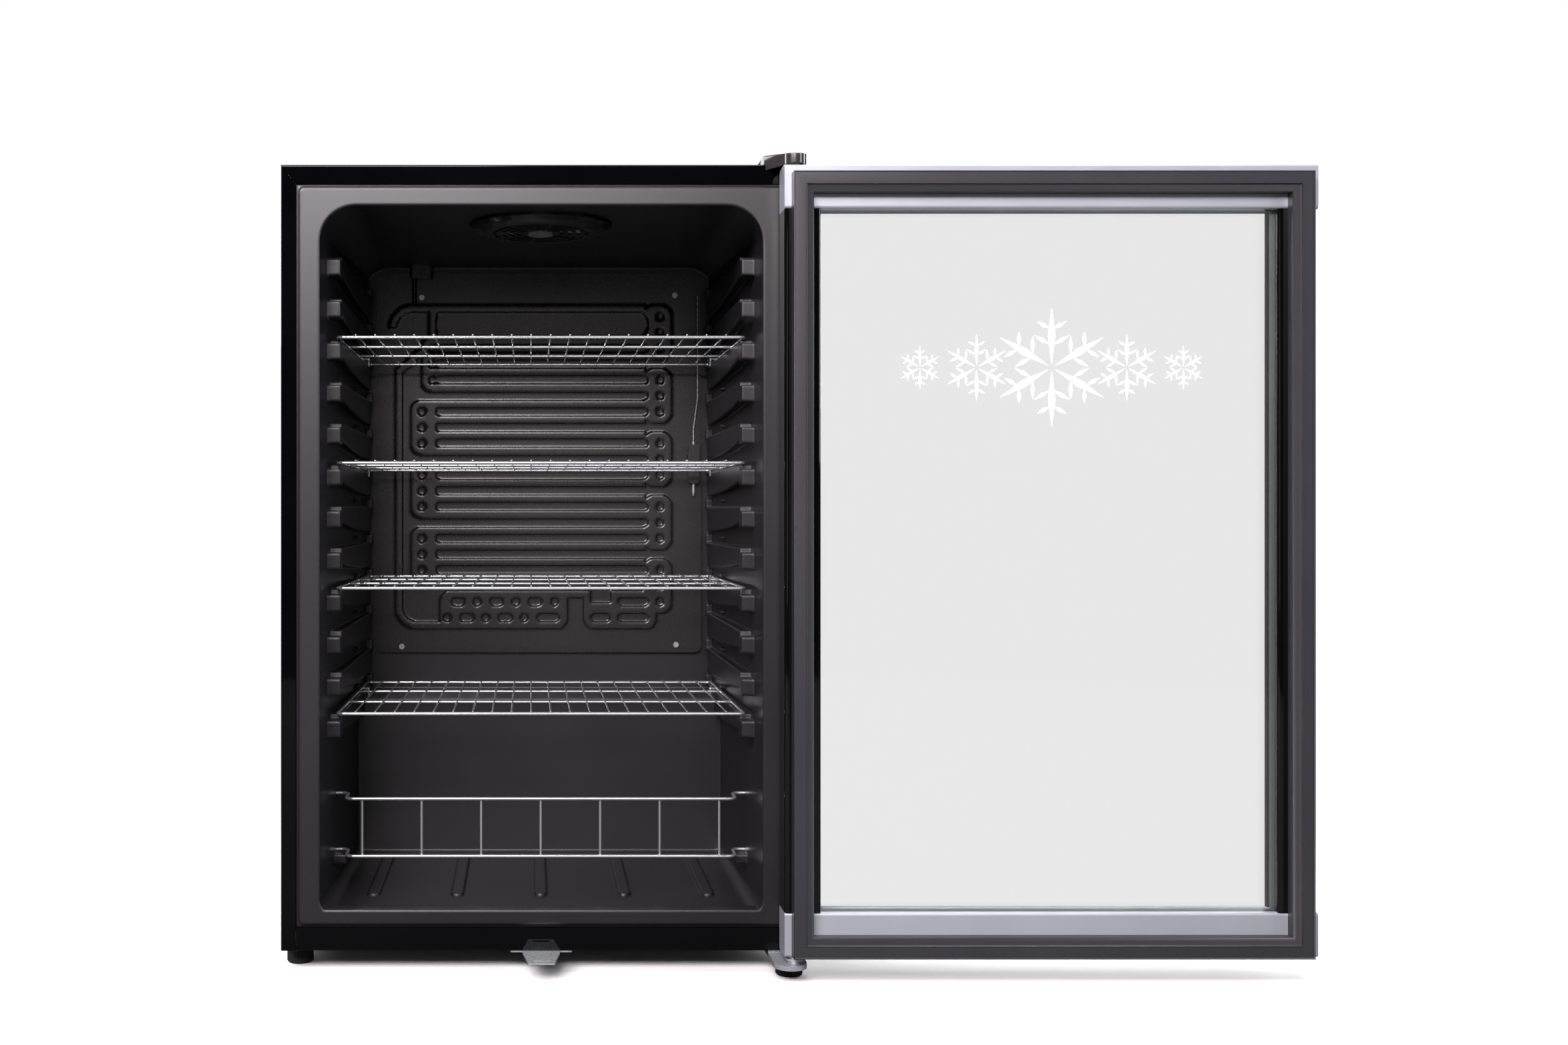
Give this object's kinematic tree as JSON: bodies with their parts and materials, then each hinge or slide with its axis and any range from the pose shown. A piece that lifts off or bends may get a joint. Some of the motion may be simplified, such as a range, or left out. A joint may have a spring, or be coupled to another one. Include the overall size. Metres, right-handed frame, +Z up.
{
  "type": "mini fridge",
  "caption": "Compact upright fridge with a double-glazed hinged door, removable wire shelves, a bottle guard, a rear cooling plate and a lockable magnetic seal.",
  "frame": {"origin": "on the floor, under the door hinge axis in X and midway from the open door seal to the rear panel in Y", "axes": "+X from the cabinet towards the opened door, +Y from the front to the back, +Z up; the row stands with the door folded right back"},
  "size_m": [1.056, 0.5398, 0.847],
  "materials": {
    "painted_steel": "gloss black enamel",
    "rear_sheet": "satin dark grey",
    "galvanised_steel": "dull spangled zinc",
    "insulating_foam": null,
    "liner_plastic": "satin black",
    "evaporator_paint": "satin black",
    "zinc_plated_steel": "bright zinc",
    "copper_tube": "dull copper",
    "black_tube": "satin black",
    "black_plastic": "satin",
    "lamp_board_white": "satin",
    "knob_grey": "satin",
    "chrome_wire": "polished",
    "hinge_cover_grey": "semi-gloss dark grey",
    "foot_rubber": "matt",
    "compressor_black": "satin black",
    "rail_silver": "fine satin silver",
    "stile_black": "gloss black",
    "clear_glass": "clear",
    "spacer_aluminium": "matt",
    "seal_rubber": "soft vinyl, satin",
    "magnet_strip": "matt",
    "bush_white": "satin",
    "lock_chrome": "polished"
  },
  "bodies": {
    "cabinet": {"left_side_panel": "painted_steel", "right_side_panel": "painted_steel", "top_panel": "painted_steel", "front_crossbar": "painted_steel", "bottom_plate": "galvanised_steel", "compressor_bay_panel": "galvanised_steel", "rear_panel": "rear_sheet", "foam_insulation": "insulating_foam", "inner_liner": "liner_plastic", "evaporator_plate": "evaporator_paint", "evaporator_screws": "zinc_plated_steel", "suction_tube": "black_tube", "suction_sleeve": "evaporator_paint", "sensor_clip": "black_plastic", "sensor_bulb": "zinc_plated_steel", "thermostat_housing": "black_plastic", "lamp_board": "lamp_board_white", "thermostat_control": "black_plastic", "bottle_guard": "chrome_wire", "top_hinge_bracket": "zinc_plated_steel", "top_hinge_cover": "hinge_cover_grey", "top_hinge_pin": "zinc_plated_steel", "hinge_screws": "zinc_plated_steel", "hinge_blank_cap": "black_plastic", "bottom_hinge_bracket": "zinc_plated_steel", "bottom_hinge_pin": "zinc_plated_steel", "hinge_washers": "zinc_plated_steel", "lock_keeper": "zinc_plated_steel", "rear_feet": "foot_rubber", "compressor": "compressor_black", "compressor_base_plate": "galvanised_steel", "compressor_grommets": "foot_rubber", "compressor_bolts": "zinc_plated_steel", "relay_cover": "black_plastic", "filter_dryer": "copper_tube", "discharge_tube": "copper_tube", "condenser_coils": "copper_tube", "evaporation_tray": "black_plastic", "drain_tube": "black_plastic", "cord_gland": "black_plastic", "panel_screws": "compressor_black"},
    "door": {"door_top_rail": "rail_silver", "door_bottom_rail": "rail_silver", "door_hinge_stile": "stile_black", "door_handle_stile": "stile_black", "outer_glass": "clear_glass", "inner_glass": "clear_glass", "glass_spacer": "spacer_aluminium", "door_gasket": "seal_rubber", "gasket_magnets": "magnet_strip", "hinge_bushes": "bush_white", "lock_housing": "lock_chrome"},
    "lock_cylinder": {"lock_barrel": "lock_chrome"},
    "thermostat_knob": {"thermostat_knob": "knob_grey"},
    "shelf_1": {"shelf_1": "chrome_wire"},
    "shelf_2": {"shelf_2": "chrome_wire"},
    "shelf_3": {"shelf_3": "chrome_wire"},
    "shelf_4": {"shelf_4": "chrome_wire"},
    "left_foot": {"left_foot": "foot_rubber"},
    "right_foot": {"right_foot": "foot_rubber"}
  },
  "joints": [
    {"name": "door_hinge", "type": "hinge", "parent": "cabinet", "child": "door", "pos_m": [0, -0.24275, 0.43], "axis": [0, 0, 1], "range_deg": [-180, 0]},
    {"name": "lock_turn", "type": "hinge", "parent": "door", "child": "lock_cylinder", "pos_m": [0.253, -0.23275, 0.039], "axis": [0, 1, 0], "range_deg": [0, 90]},
    {"name": "thermostat_turn", "type": "hinge", "parent": "cabinet", "child": "thermostat_knob", "pos_m": [-0.258, -0.10575, 0.787], "axis": [0, 0, 1], "range_deg": [0, 300]},
    {"name": "shelf_1_slide", "type": "slide", "parent": "cabinet", "child": "shelf_1", "axis": [0, -1, 0], "range_m": [0, 0.3]},
    {"name": "shelf_2_slide", "type": "slide", "parent": "cabinet", "child": "shelf_2", "axis": [0, -1, 0], "range_m": [0, 0.3]},
    {"name": "shelf_3_slide", "type": "slide", "parent": "cabinet", "child": "shelf_3", "axis": [0, -1, 0], "range_m": [0, 0.3]},
    {"name": "shelf_4_slide", "type": "slide", "parent": "cabinet", "child": "shelf_4", "axis": [0, -1, 0], "range_m": [0, 0.3]},
    {"name": "left_foot_turn", "type": "hinge", "parent": "cabinet", "child": "left_foot", "pos_m": [-0.514, -0.17075, 0.01], "axis": [0, 0, 1], "continuous": true},
    {"name": "right_foot_turn", "type": "hinge", "parent": "cabinet", "child": "right_foot", "pos_m": [-0.002, -0.21875, 0.01], "axis": [0, 0, 1], "continuous": true}
  ]
}
